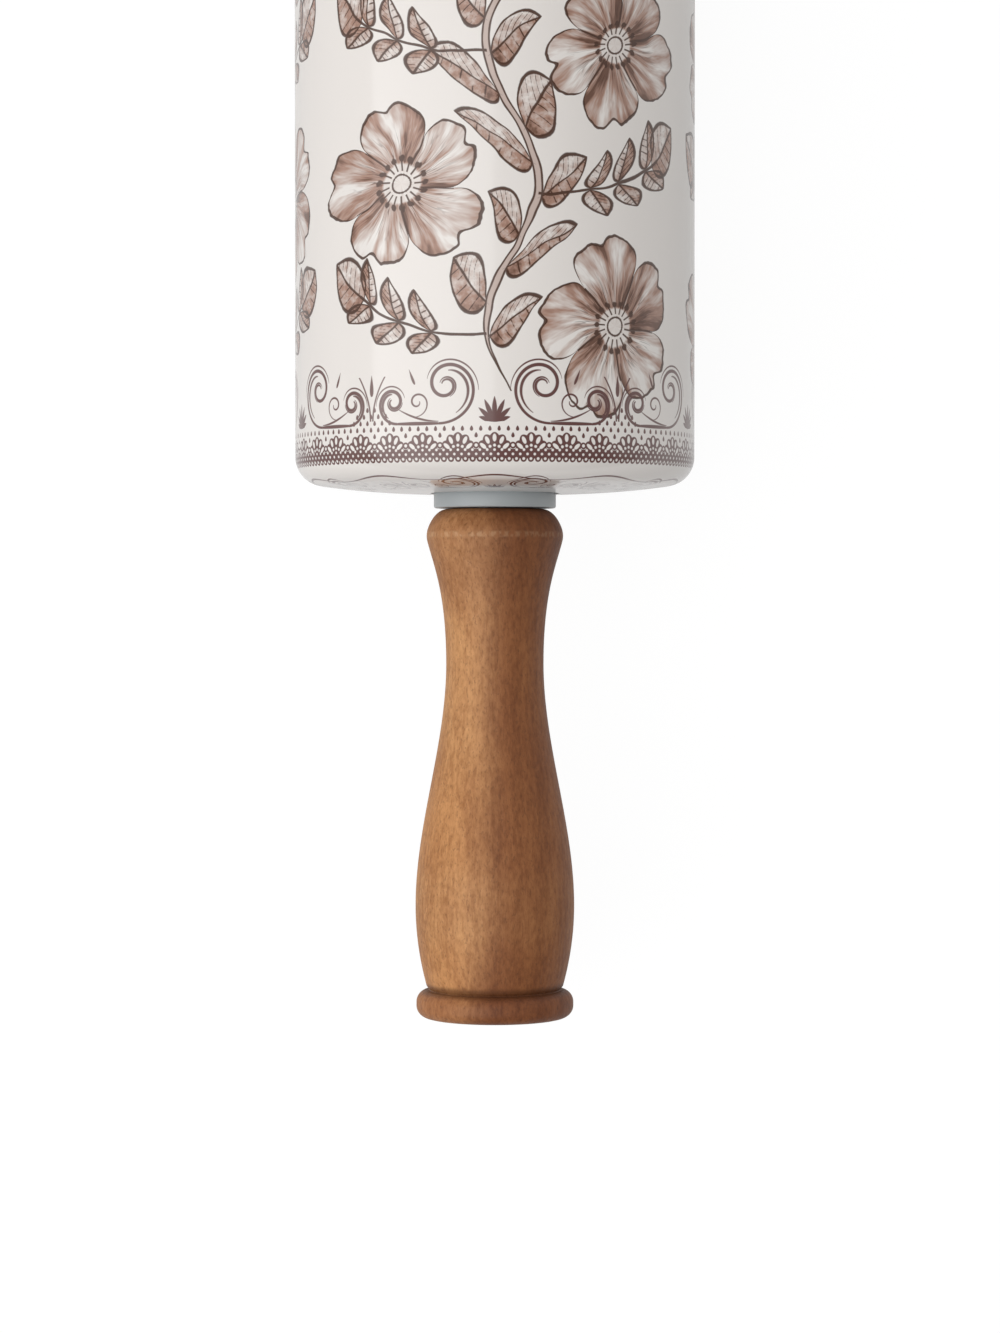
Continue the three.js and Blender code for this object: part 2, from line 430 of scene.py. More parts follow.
def swelling_stroke(paint, offset, wound, start, end, thick, thin):
    """A pen line along a spiral that is thick in its middle and thin at its ends."""
    share = (wound - start) / (end - start)
    half_width = thin + share * (1 - share) * (4 * (thick - thin))
    return paint.stroke(offset, half_width) * share.within(0.0, 1.0)


def teardrop(paint, across, up, tall, width):
    """A drop that stands on its thick end."""
    share = up / tall
    bulge = paint.math("SQRT", paint.math("MAXIMUM", share * (1 - share), 0.0))
    half_width = bulge * (1.25 - share) * width
    return paint.ramp(abs(across) - half_width, 0.07, -0.07) * share.within(0.0, 1.0)


def palmette(paint, across, up):
    """A small fan of drop-shaped petals that stands on its origin."""
    reach = paint.reach(across, up)
    angle = paint.math("ARCTAN2", across, up)
    tall = 4.3
    share = reach / (tall * paint.math("COSINE", angle * 0.7))
    width = share * (1 - share) * 1.6 + 0.02
    inside = paint.ramp(abs(paint.fold(angle, math.radians(24)) * reach) - width, 0.06, -0.06)
    return inside * (abs(angle) < math.radians(84)) * (share < 1.0)


def scrolls(paint, arc, rise, pitch):
    """Mirrored C-scrolls, each a large and a small volute on one sweeping line, with sprigs between."""
    across = paint.math("PINGPONG", arc, pitch)
    floor, growth = 0.35, 0.2
    lead = math.atan(growth)
    large = (0.37 * pitch, 6.2, 1, 3.4 * math.pi)
    small = (0.8 * pitch, 3.5, -1, 2.8 * math.pi)
    ink = None
    joins = []
    for place, outer, way, end in (large, small):
        low = outer * math.exp(growth * lead)
        level = floor + low * math.cos(lead)
        joins.append(place + way * low * math.sin(lead))
        offset, wound = volute(paint, (across - place) * way, rise - level, outer, growth)
        main = swelling_stroke(paint, offset, wound, -lead - 2.2, end, 0.3, 0.1) * (wound > -lead)
        twin = swelling_stroke(paint, offset - outer * 0.13, wound, 0.35, 0.95 * math.pi, 0.2, 0.05)
        curl = swelling_stroke(paint, offset + 0.42, wound, end - 1.3 * math.pi, end, 0.2, 0.05)
        brow = swelling_stroke(paint, offset + 0.95, wound, 0.45 * math.pi, 1.4 * math.pi, 0.18, 0.04)
        parts = [main, twin, curl, brow]
        ink = paint.most(*parts) if ink is None else paint.most(ink, *parts)
    first, last = joins
    share = (across - first) / (last - first)
    on_sweep = share.within(0.0, 1.0)
    sweep = paint.stroke(rise - floor, 0.2 + share * (1 - share) * 0.4) * on_sweep
    lift = rise - floor - 0.35 - share * share * 2.2
    lift = paint.stroke(lift, 0.05 + share * (1 - share) * 0.55) * on_sweep
    ink = paint.most(ink, sweep, lift, palmette(paint, across, rise - 0.5))
    gap = pitch - across
    stem_rise = rise - 0.9
    tendril = gap - 0.25 - stem_rise * stem_rise * 0.045
    tendril = paint.stroke(tendril, 0.16) * stem_rise.within(0.0, 7.4)
    bud = teardrop(paint, gap, rise - 5.0, 3.6, 0.9)
    dash = teardrop(paint, across - 0.62 * pitch - (rise - 6.8) * 0.4, rise - 6.8, 2.6, 0.6)
    offset, wound = volute(paint, across - 0.6 * pitch, rise - 3.9, 2.4, growth)
    curl = swelling_stroke(paint, offset, wound, -0.3, 2.6 * math.pi, 0.17, 0.06)
    return paint.most(ink, tendril, bud, dash, curl)


def rose(paint, across, up, millimetre, seed):
    """An open five-petalled rose of unit radius: its lines, its wash and its outline as a mask."""
    petals = 5
    reach = paint.reach(across, up)
    turn = paint.fold(paint.math("ARCTAN2", up, across) * (petals / TAU) + reach * 0.16, petals)
    lobe = paint.fold(turn, 1.0)
    number = paint.math("ROUND", turn - lobe)
    luck, shade, bend = paint.split(paint.chance(number, seed * 100.0, 3.0))
    side = abs(lobe) * 2.0
    ragged = paint.noise(paint.join(turn * 2.6, seed * 31.0), 1.0, 3.0, 0.6) * 0.2
    round_off = paint.math("SQRT", 1 - side**2.6)
    rim = (0.44 + ragged + 0.42 * round_off - paint.ramp(side, 0.24, 0.0) * 0.09) * (0.9 + 0.2 * luck)
    depth = rim - reach
    mask = paint.ramp(depth, -0.01, 0.01)
    swept = lobe * (1 - reach * 0.35) * 9.0 + bend * 3.0
    grain = paint.noise(paint.join(swept, reach * 1.5, seed * 17.0 + number), 1.0, 3.0, 0.6)
    pen = millimetre * (0.1 + 0.3 * grain)
    line = paint.ramp(abs(depth), pen * 1.3, pen * 0.8)
    edge = (1 - side) * reach * (math.pi / petals)
    line = paint.most(line, paint.ramp(edge, pen * 1.1, pen * 0.5) * reach.within(0.22, 0.62))
    streak = paint.noise(paint.join(swept * 2.3, reach * 2.0, seed * 9.0), 1.0, 1.0)
    streak = paint.ramp(abs(streak - 0.5), 0.045, 0.015) * paint.ramp(reach, 0.78, 0.3)
    line = paint.most(line, streak * mask * 0.7)
    tone = (grain - 0.5) * 3.9 + paint.ramp(reach, 0.75, 0.2) * 0.6 + paint.ramp(lobe, 0.05, 0.5) * 0.6
    tone = tone + shade * 0.45 + paint.ramp(depth, 0.14, 0.0) * 0.2
    heart = paint.ramp(reach, 0.25, 0.21)
    wash = paint.math("MAXIMUM", tone + 0.2, 0.0) * mask * (1 - heart * 0.85)
    stamens = 17
    ray = paint.fold(turn * (stamens / petals), 1.0) * (TAU / stamens) * reach
    anther = paint.reach(ray, reach - 0.28 - grain * 0.1 + 0.05)
    filament = paint.ramp(abs(ray), 0.014, 0.006) * reach.within(0.15, 0.28)
    knob = paint.ramp(abs(reach - 0.11), pen, pen * 0.5)
    line = line * (1 - heart) * (reach > 0.22)
    line = paint.most(line, paint.ramp(anther, 0.042, 0.028), filament, knob)
    return line * paint.ramp(depth, -0.04, -0.02), wash, mask


def leaf(paint, along, across, millimetre, grain):
    """A pointed, ribbed leaf of unit length: its lines, its wash and its outline as a mask."""
    side = abs(across)
    width = 0.84 * paint.math("MAXIMUM", along, 0.0) ** 0.72 * (1 - along)
    depth = width - side
    mask = paint.ramp(depth, -0.008, 0.008)
    pen = millimetre * (0.1 + 0.26 * grain)
    line = paint.ramp(abs(depth), pen * 1.4, pen * 0.7) * along.within(-0.02, 1.02)
    vein = paint.ramp(side, pen, pen * 0.4)
    rib = abs(paint.fold(along - side * 0.75, 0.15))
    rib = paint.ramp(rib, pen * 0.7, pen * 0.2) * paint.ramp(grain, 0.35, 0.55)
    tone = 0.4 + 0.45 * (across > 0.0) + (grain - 0.5) * 2.2 + paint.ramp(along, 0.45, 0.0) * 0.4
    wash = paint.math("MAXIMUM", tone, 0.0) * mask
    return paint.most(line, paint.most(vein, rib) * mask), wash, mask


def vine(paint, arc, along, spread, vines, first, last):
    """Trailing roses from a first to a last place along the barrel; gives the lines and the wash."""
    width = spread / vines
    period, sway, stand_off, start, taper = 46.5, 4.5, 23.0, 3.0, 16.0
    round_place = paint.fold(arc - start, spread)
    local = paint.fold(round_place, width)
    column = paint.math("ROUND", (round_place - local) / width)
    local = local * (1 - abs(column) * 2.0)
    bend = paint.math("COSINE", along * (TAU / period)) * -sway
    away = local - bend
    side = paint.math("SIGN", away)
    out = abs(away)
    grain = paint.noise(paint.join(local, along, column * 9.0), 0.55, 3.0, 0.65)
    inside = along.within(first, last)
    stem_half = paint.ramp(along, last, last - taper) * paint.ramp(along, first, first + taper) * 0.58
    line = paint.stroke(out - stem_half, 0.12 + 0.1 * grain) * inside
    wash = paint.ramp(out - stem_half, 0.05, -0.15) * 0.6 * inside

    # Leaves that slant off the vine, one after the other on both sides
    slant = 0.85
    leaf_pitch = period / 4
    leaning = along + out * slant - side * (leaf_pitch / 4)
    leaf_along = paint.fold(leaning, leaf_pitch)
    leaf_foot = leaning - leaf_along
    leaf_number = paint.math("ROUND", leaf_foot / leaf_pitch)
    leaf_size = 9.6 + 3.4 * paint.split(paint.chance(leaf_number, side, column))[0]
    stretch = math.hypot(1.0, slant)
    leaf_line, leaf_wash, leaf_mask = leaf(
        paint, (out * stretch - 0.8) / leaf_size, leaf_along / (leaf_size * stretch), 1 / leaf_size, grain
    )
    kept = leaf_foot.within(first, last)
    leaf_mask = leaf_mask * kept
    line = paint.most(line * (1 - leaf_mask), leaf_line * kept)
    wash = paint.most(wash, leaf_wash * kept)

    # Sprigs with paired leaflets and a bud, halfway between the blooms
    right = side > 0.0
    drooped = along + out * out * 0.012 - right * (period / 2) - 2.0
    sprig = paint.fold(drooped, period)
    sprig_place = drooped - sprig + right * (period / 2)
    kept = sprig_place.within(first, last)
    sprig_reach, bud_foot, bud_tall, leaflet_size, leaflet_pitch = 24.0, 23.0, 9.5, 6.8, 6.0
    stem = paint.stroke(sprig, 0.18 + 0.12 * grain) * (out < sprig_reach)
    off = abs(sprig)
    fork = out - off * slant
    pair = paint.fold(fork - leaflet_pitch / 2, leaflet_pitch)
    in_sprig = fork.within(leaflet_pitch, sprig_reach)
    pair_line, pair_wash, pair_mask = leaf(
        paint,
        (off * stretch - 0.3) / leaflet_size,
        pair / (leaflet_size * stretch),
        1 / leaflet_size,
        grain,
    )
    bud_line, bud_wash, bud_mask = leaf(
        paint, (out - bud_foot) / bud_tall, sprig / 14.0, 1 / 11.0, grain
    )
    sprig_line = paint.most(stem, pair_line * in_sprig, bud_line) * kept
    sprig_mask = paint.most(pair_mask * in_sprig, bud_mask) * kept
    line = paint.most(line * (1 - sprig_mask), sprig_line)
    wash = paint.most(wash * (1 - sprig_mask), paint.most(pair_wash * in_sprig, bud_wash) * kept)

    # Blooms in the bends
    bloom_along = paint.fold(along - (1 - right) * (period / 2), period)
    bloom_place = along - bloom_along
    bloom_number = paint.math("ROUND", bloom_place * (2 / period))
    luck, spin_luck, size_luck = paint.split(paint.chance(bloom_number, side, column + 7.0))
    size = 14.4 + 2.0 * size_luck
    bloom_out = (local - side * (stand_off - sway + luck)) / size
    turned_place = paint.node(
        "VectorRotate",
        {"rotation_type": "Z_AXIS"},
        {"Vector": paint.join(bloom_out, bloom_along / size), "Angle": spin_luck * TAU},
    )
    bloom_x, bloom_y = paint.split(turned_place)[:2]
    bloom_line, bloom_wash, bloom_mask = rose(paint, bloom_x, bloom_y * 1.12, 1 / size, size_luck)
    kept = abs(bloom_place) < last
    bloom_mask = bloom_mask * kept
    line = paint.most(line * (1 - bloom_mask), bloom_line * kept)
    wash = paint.most(wash * (1 - bloom_mask), bloom_wash * kept)
    return line, wash


def glaze_paint(barrel, printed):
    """White glaze over a sepia print with lace and scroll borders at both ends."""
    paint = new_paint("printed_glaze")
    place = paint.place()
    wobble = paint.noise(place, 120.0, 1.0, 0.5, "Color")
    wobble_x, wobble_y = paint.split(wobble)[:2]
    x, y, z = paint.split(place)
    radius = barrel.radius / MM
    half = barrel.half / MM
    spread = TAU * radius
    arc = paint.math("ARCTAN2", y, z) * radius
    along = abs(x) / MM
    edge = half - along
    reach = paint.reach(y, z) / MM
    corner_depth = 0.7
    on_end = reach < radius - corner_depth
    on_side = 1 - on_end

    # Lace and drops on the side, and scrolls on the side and on the end face
    rise = edge - printed.lace_edge / MM
    fan_pitch = spread / printed.fans
    scroll_pitch = spread / printed.scrolls / 2
    scroll_foot = 6.0
    ring_start, ring_stretch, garland_radius = 21.0, 1.05, 31.9
    lace_ink = lace(paint, arc, rise, fan_pitch)
    drop_ink = drops(paint, arc, rise, fan_pitch, scroll_pitch * 2)
    side_rise = rise - scroll_foot
    scroll_rise = side_rise + on_end * ((reach - ring_start) / ring_stretch - side_rise)
    scroll_ink = scrolls(paint, arc, scroll_rise, scroll_pitch)
    fade = paint.ramp(paint.noise(place, 38.0, 2.0), 0.25, 0.6) * 0.12 + 0.88
    swing = paint.math("COSINE", arc * (TAU / scroll_pitch))
    garland = paint.stroke(reach - garland_radius - swing * 0.8, 0.18) * on_end
    border = paint.most(paint.most(lace_ink, drop_ink) * on_side, garland, scroll_ink) * fade

    # Field between the borders, drawn with a slightly unsteady hand
    unsteady, first, last = 2.2, 30.0 - half, half - 16.0
    drawn_arc = arc + (wobble_x - 0.5) * unsteady
    drawn_along = x / MM + (wobble_y - 0.5) * unsteady
    line, wash = vine(paint, drawn_arc, drawn_along, spread, printed.vines, first, last)
    in_field = paint.ramp(edge, 9.6, 10.2)
    base = paint.blend(paint.clamp(wash) * in_field * 0.9, rgba(barrel.glaze), rgba(printed.wash))
    base = paint.blend(paint.ramp(wash, 0.95, 1.6) * in_field * 0.85, base, rgba(printed.deep))
    base = paint.blend(line * in_field * 0.95, base, rgba(printed.line))
    base = paint.blend(border, base, rgba(printed.border))

    ripple = paint.noise(place, 55.0, 1.0)
    roughness = 0.1 + 0.06 * paint.noise(place, 24.0, 2.0)
    return paint.finish(base, roughness, ripple, 0.06 * MM, IOR=1.52)


# Other finishes


def wood_paint(handle):
    """Stained, satin-varnished wood whose grain runs along the axle, with painted shade on one half and
    under the barrel and painted highlights on the arris and belly.
    """
    paint = new_paint("stained_wood")
    place = paint.place()
    x, y, z = paint.split(place)
    year, waver = 4.2 * MM, 6.5 * MM
    drift = paint.streaks(place, 9.0, 60.0)
    from_pith = paint.reach(y + 34 * MM, z - 21 * MM) + drift * waver
    growth = paint.math("SINE", from_pith * (TAU / year)) * 0.5 + 0.5
    fibre = paint.streaks(place, 95.0, 1500.0, 3.0, 0.65)
    mottle = paint.streaks(place, 650.0, 1400.0, 2.0, 0.6)
    fleck = paint.streaks(place, 1500.0, 3000.0, 1.0)
    grain = growth * 0.13 + fibre * 0.45 + mottle * 0.9
    tone = paint.blend(paint.ramp(grain, 0.45, 1.1), rgba(handle.pale), rgba(handle.dark))

    # One half is darker with painted shade, the side away from the key light; it is lighter where hands
    # wear the belly and a highlight is painted at its widest place, and more of it is dark towards the
    # end
    along = abs(x)
    stations = handle_stations(handle)
    arris, fullest, groove = stations[0], stations[2], stations[3]
    # Hand wear and a painted highlight: the belly's widest place is kept lighter
    wear_and_highlight = paint.ramp(abs(along - fullest), 9 * MM, 3 * MM)
    spread = paint.ramp(along - fullest, 1 * MM, 21 * MM) * 0.25
    # Painted shade on the half away from the key light, with a wavering edge
    shaded_half = paint.ramp(y / paint.reach(y, z) + (drift - 0.5) * 0.6 + spread, -0.5, 0.27)
    shaded_half = shaded_half * (1 - wear_and_highlight * 0.12)
    cloud = paint.streaks(place, 70.0, 170.0)
    tone = paint.tint(paint.ramp(cloud, 0.42, 0.64) * 0.6, tone, rgba(handle.cloud))
    tone = paint.tint(shaded_half, tone, rgba(handle.shaded_half))
    tone = paint.blend(paint.ramp(fleck, 0.56, 0.72) * 0.33, tone, rgba(handle.pore))

    # Stain lies thick in the groove, with painted shade there too; the bead and neck under the barrel get
    # painted shade; the arris is lighter where stain is rubbed off, with a painted highlight along it
    from_groove = along - (groove + handle.groove_width / 2)
    # Stain pooled in the groove, with painted shade in it as well
    pooled_stain_and_shade = paint.ramp(abs(from_groove), 1.3 * MM, 0.3 * MM)
    tone = paint.blend(pooled_stain_and_shade * 0.65, tone, rgba(handle.pore))
    end_ring = paint.ramp(from_groove, 0.0, 1 * MM) * paint.ramp(drift, 0.2, 0.6)
    tone = paint.tint(end_ring * 0.9, tone, rgba(handle.ring))
    from_arris = along - arris
    belly = paint.ramp(from_arris, 30 * MM, 50 * MM) * (1 - shaded_half) * (1 - wear_and_highlight)
    tone = paint.tint(belly * 0.9, tone, rgba(handle.belly))
    # Painted shade on the bead and neck, where the barrel above shades them
    shoulder_shade = paint.ramp(from_arris, 20 * MM, 2 * MM)
    tone = paint.tint(shoulder_shade * 0.6, tone, rgba(handle.shoulder_shade))
    # Rubbed-off stain and a painted highlight along the arris, stronger on the lit half
    rubbed_and_highlight = paint.ramp(abs(from_arris), 0.7 * MM, 0.2 * MM) * paint.ramp(mottle, 0.4, 0.6)
    tone = paint.blend(rubbed_and_highlight * (0.52 - 0.32 * shaded_half), tone, rgba(handle.rubbed_and_highlight))
    return paint.finish(tone, 0.47 + 0.2 * fibre, fibre - fleck * 0.5, 0.08 * MM, IOR=1.42)


def plastic_paint(plastic):
    """Moulded satin plastic with a fine texture."""
    paint = new_paint("grey_plastic")
    place = paint.place()
    cloud = paint.noise(place, 180.0, 2.0)
    base = paint.blend(cloud * 0.5, rgba(plastic), rgba(plastic, 0.85))
    fine = paint.noise(place, 5000.0, 1.0)
    return paint.finish(base, 0.28 + 0.14 * cloud, fine, 0.01 * MM)


def silicone_paint(silicone):
    """Soft grey silicone with a dusty surface."""
    paint = new_paint("soft_silicone")
    dust = paint.noise(paint.place(), 700.0, 4.0, 0.7)
    base = paint.blend(dust * 0.6, rgba(silicone), rgba(silicone, 0.8))
    return paint.finish(base, 0.55 + 0.3 * dust, dust, 0.03 * MM)


def turned_metal_paint(name, metal):
    """Metal with fine turning marks round the axle."""
    paint = new_paint(name)
    marks = paint.streaks(paint.place(), 9000.0, 40.0)
    base = paint.blend(marks * 0.5, rgba(metal), rgba(metal, 0.75))
    return paint.finish(base, 0.2 + 0.25 * marks, marks, 0.01 * MM, Metallic=1.0)


# Turned shapes; an outline is a list of (radius, distance along the axle) in metres


def arc_points(radius, along, size, start, end, steps=12):
    """Points of a round corner; angle 0 faces away from the axle."""
    turns = [start + (end - start) * i / steps for i in range(steps + 1)]
    return [(radius + size * math.cos(t), along + size * math.sin(t)) for t in turns]


def eased_rim(radius, low, high, ease, steps):
    """A rim from one place along the axle to another, with both its edges rounded."""
    centre = radius - ease
    return [
        *arc_points(centre, low + ease, ease, -QUARTER, 0.0, steps),
        *arc_points(centre, high - ease, ease, 0.0, QUARTER, steps),
    ]


def mirrored(points):
    """The same outline at the other end, in reverse order."""
    return [(radius, -along) for radius, along in reversed(points)]


def curve_points(controls, steps):
    """Points of a Bezier curve of any degree."""
    degree = len(controls) - 1
    points = []
    for i in range(steps + 1):
        t = i / steps
        shares = [math.comb(degree, k) * t**k * (1 - t) ** (degree - k) for k in range(degree + 1)]
        points.append(tuple(sum(s * c[axis] for s, c in zip(shares, controls)) for axis in (0, 1)))
    return points


def add_bake_map(bm, height):
    """Unrolls a turned shape: once round is the map's width, and the outline its height."""
    uv = bm.loops.layers.uv.new("OFBake")
    for face in bm.faces:
        centre = face.calc_center_median()
        middle = math.atan2(centre.y, centre.z)
        for loop in face.loops:
            spot = loop.vert.co
            turn = math.atan2(spot.y, spot.z) if math.hypot(spot.y, spot.z) > 1e-6 else middle
            turn += TAU * round((middle - turn) / TAU)
            loop[uv].uv = (turn / TAU + 0.5, loop.vert[height])


def turned(name, stretches, material, steps=96, direction=1):
    """Spins an outline about the axle. Each stretch is its share of the bake map and its points."""
    bm = bmesh.new()
    height = bm.verts.layers.float.new("height")
    base = 0.0
    last = None
    for share, points in stretches:
        gaps = [math.dist(a, b) for a, b in zip(points, points[1:])]
        total = sum(gaps)
        run = 0.0
        for (radius, along), gap in zip(points, [0.0, *gaps]):
            run += gap
            spot = bm.verts.new((along * direction, 0.0, -radius))
            spot[height] = base + share * run / total
            if last is not None:
                bm.edges.new((last, spot))
            last = spot
        base += share
    geometry = bm.verts[:] + bm.edges[:]
    bmesh.ops.spin(bm, geom=geometry, axis=(1, 0, 0), angle=TAU, steps=steps, use_merge=True)
    add_bake_map(bm, height)
    bmesh.ops.remove_doubles(bm, verts=bm.verts[:], dist=1e-7)
    bmesh.ops.recalc_face_normals(bm, faces=bm.faces[:])
    return make_piece(name, bm, material)


def make_piece(name, bm, material):
    """Turns a bmesh into an object at the origin, smooth but for its sharp edges."""
    mesh = bpy.data.meshes.new(name)
    bm.to_mesh(mesh)
    bm.free()
    mesh.polygons.foreach_set("use_smooth", [True] * len(mesh.polygons))
    mesh.set_sharp_from_angle(angle=math.radians(40))
    mesh.materials.append(material)
    piece = bpy.data.objects.new(name, mesh)
    bpy.context.scene.collection.objects.link(piece)
    return piece


def stand_for(piece, body, node):
    """Lets a piece ride on a body in place of a CAD node."""
    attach(piece, body)
    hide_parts(node)


def turned_pair(name, stretches, material, body, node, steps=96):
    """Spins the same outline for both ends, each in place of its CAD node."""
    for side, direction in SIDES.items():
        piece = turned(f"{name}_{side}", stretches, material, steps, direction)
        stand_for(piece, body, f"{node}_{side}")


def handle_stations(handle):
    """Places along the axle of the handle's arris, waist, belly, groove, end ring and end."""
    lengths = (
        handle.shoulder_length,
        handle.neck_length,
        handle.swell_length,
        handle.belly_length,
        handle.groove_width,
        handle.ring_height,
    )
    return [handle.mouth + total for total in itertools.accumulate(lengths)]


def barrel_end(barrel):
    """Outline of one end from the side wall's last straight point to the hole's rim."""
    centre = barrel.radius - barrel.corner
    bend = (barrel.seat + centre) / 2
    slope = math.atan2(barrel.crown, centre - bend)
    shift = barrel.corner * math.sin(slope)
    place = barrel.half - barrel.crown - barrel.corner * math.cos(slope)
    crown = [
        (centre + shift, barrel.half - barrel.crown),
        (bend + shift, barrel.half),
        (barrel.seat, barrel.half),
    ]
    floor = barrel.half - barrel.seat_depth
    ease = 0.6 * MM
    return [
        *arc_points(centre, place, barrel.corner, 0.0, QUARTER - slope, 16),
        *curve_points(crown, 16)[1:],
        (barrel.seat, floor),
        *arc_points(barrel.hole + ease, floor - ease, ease, QUARTER, math.pi, 6),
    ]


class ROLLING_PIN_OT_barrel(bpy.types.Operator):
    """Spin the hollow barrel and glaze it"""

    bl_idname = "rolling_pin.barrel"
    bl_label = "Barrel"

    def execute(self, context):
        settings = context.scene.rolling_pin
        barrel = settings.barrel
        end = barrel_end(barrel)
        other = mirrored(end)
        face = barrel.half - barrel.end_wall
        inner = barrel.radius - barrel.wall
        bend = barrel.inner_corner
        corner = arc_points(inner - bend, face - bend, bend, QUARTER, 0.0)
        inside = [end[-1], (barrel.hole, face), *corner]
        piece = turned(
            "printed_barrel",
            [
                (0.78, [other[-1], end[0]]),
                (0.09, end),
                (0.02, inside + mirrored(inside)),
                (0.11, other),
            ],
            glaze_paint(barrel, settings.print),
            steps=192,
        )
        stand_for(piece, "barrel", "barrel")
        return {"FINISHED"}


def bush_outline(bearing):
    """A spigot with a flange, in which the washer has a sunk track."""
    ease = bearing.edge
    inner, outer = bearing.flange_inner, bearing.flange_outer
    start = (bearing.bore, bearing.spigot_end)
    return [
        start,
        *arc_points(bearing.spigot - ease, bearing.spigot_end + ease, ease, -QUARTER, 0.0, 4),
        (bearing.spigot, inner),
        *eased_rim(bearing.flange, inner, outer, ease, 4),
        (bearing.track, outer),
        (bearing.track, outer - bearing.track_depth),
        (bearing.bore, outer - bearing.track_depth),
        start,
    ]


def grommet_outline(bearing, barrel):
    """A sleeve with a lip inside the barrel's end wall."""
    seat = barrel.half - barrel.seat_depth
    gap = bearing.flange_inner - seat
    lip = barrel.half - barrel.end_wall - gap
    ease = bearing.grommet_lip_width / 3
    start = (bearing.grommet_bore, lip - bearing.grommet_lip_width)
    return [
        start,
        *eased_rim(bearing.grommet_lip, start[1], lip, ease, 5),
        (bearing.grommet_radius, lip),
        (bearing.grommet_radius, seat),
        (bearing.grommet_bore, seat),
        start,
    ]


class ROLLING_PIN_OT_bearings(bpy.types.Operator):
    """Spin the flanged bushes and the grommets that bed them"""

    bl_idname = "rolling_pin.bearings"
    bl_label = "Bushes and grommets"

    def execute(self, context):
        settings = context.scene.rolling_pin
        bearing = settings.bearing
        plastic = plastic_paint(bearing.plastic)
        silicone = silicone_paint(bearing.silicone)
        bush = [(1.0, bush_outline(bearing))]
        grommet = [(1.0, grommet_outline(bearing, settings.barrel))]
        turned_pair("flanged_bush", bush, plastic, "barrel", "end_bush")
        turned_pair("soft_grommet", grommet, silicone, "barrel", "bush_grommet")
        return {"FINISHED"}


def wind_threads(mesh, bearing, root, start, end):
    """Adds a helical ridge to both ends of the axle's mesh."""
    per_turn, plain_turns = 24, 2
    pitch = bearing.thread_pitch
    sunk = root - 0.1 * MM
    turns = int((end - start) / pitch) - plain_turns
    bm = bmesh.new()
    bm.from_mesh(mesh)
    for direction in SIDES.values():
        foot = start + pitch
        spots = [(sunk, foot - pitch / 2), (bearing.thread, foot), (sunk, foot + pitch / 2)]
        ridge = [bm.verts.new((along * direction, 0.0, -radius)) for radius, along in spots]
        tooth = bm.faces.new(ridge)
        step = Vector((pitch / per_turn * direction, 0.0, 0.0))
        bmesh.ops.spin(
            bm,
            geom=[tooth, *tooth.edges, *tooth.verts],
            axis=(1, 0, 0),
            dvec=step,
            angle=TAU * turns,
            steps=per_turn * turns,
        )
    bmesh.ops.recalc_face_normals(bm, faces=bm.faces[:])
    bm.to_mesh(mesh)
    bm.free()


class ROLLING_PIN_OT_axle(bpy.types.Operator):
    """Spin the axle and wind a thread on each end"""

    bl_idname = "rolling_pin.axle"
    bl_label = "Axle"

    def execute(self, context):
        bearing = context.scene.rolling_pin.bearing
        fit_gap, ease, thread_depth = 0.3 * MM, 0.3 * MM, 0.45 * MM
        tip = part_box("axle_rod")[1].x
        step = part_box("handle_insert_right")[0].x - fit_gap
        root = bearing.thread - thread_depth
        end = [
            (bearing.axle, step - ease),
            (bearing.axle - ease, step),
            (root, step),
            (root, tip - ease),
            (root - ease, tip),
            (0.0, tip),
        ]
        steel = turned_metal_paint("ground_steel", bearing.steel)
        piece = turned("threaded_axle", [(1.0, mirrored(end) + end)], steel, steps=64)
        wind_threads(piece.data, bearing, root, step, tip)
        stand_for(piece, "handles", "axle_rod")
        return {"FINISHED"}


def washer_outline(bearing):
    """A flat ring with a rounded rim."""
    low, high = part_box("wear_washer_right")
    ease = 0.25 * MM
    start = (bearing.washer_bore, low.x)
    return [
        start,
        *eased_rim(bearing.washer_radius, low.x, high.x, ease, 4),
        (bearing.washer_bore, high.x),
        start,
    ]


def insert_outline(bearing):
    """A sleeve whose barbs point to the mouth."""
    low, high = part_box("handle_insert_right")
    pitch = (high.x - low.x) / bearing.insert_barbs
    barbs = []
    for number in range(bearing.insert_barbs):
        barbs.append((bearing.insert_radius + bearing.insert_barb, low.x + number * pitch))
        barbs.append((bearing.insert_radius, low.x + (number + 1) * pitch))
    start = (bearing.insert_bore, low.x)
    return [start, *barbs, (bearing.insert_bore, high.x), start]


class ROLLING_PIN_OT_fittings(bpy.types.Operator):
    """Spin the wear washers and the barbed inserts in the handles"""

    bl_idname = "rolling_pin.fittings"
    bl_label = "Washers and inserts"

    def execute(self, context):
        bearing = context.scene.rolling_pin.bearing
        steel = turned_metal_paint("stamped_steel", bearing.steel)
        brass = turned_metal_paint("turned_brass", bearing.brass)
        washer = [(1.0, washer_outline(bearing))]
        insert = [(1.0, insert_outline(bearing))]
        turned_pair("thrust_washer", washer, steel, "handles", "wear_washer")
        turned_pair("barbed_insert", insert, brass, "handles", "handle_insert")
        return {"FINISHED"}


def handle_bore(handle):
    """Inside, from the bottom of the axle's bore to the mouth."""
    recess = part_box("wear_washer_right")[1].x + handle.fit_gap
    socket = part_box("handle_insert_right")[1].x + handle.fit_gap
    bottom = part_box("axle_rod")[1].x + handle.tip_room
    drill_tip = 1.5 * MM
    return [
        (0.0, bottom + drill_tip),
        (handle.bore_radius, bottom),
        (handle.bore_radius, socket),
        (handle.socket_radius, socket),
        (handle.socket_radius, recess),
        (handle.recess_radius, recess),
        (handle.recess_radius, handle.mouth),
    ]


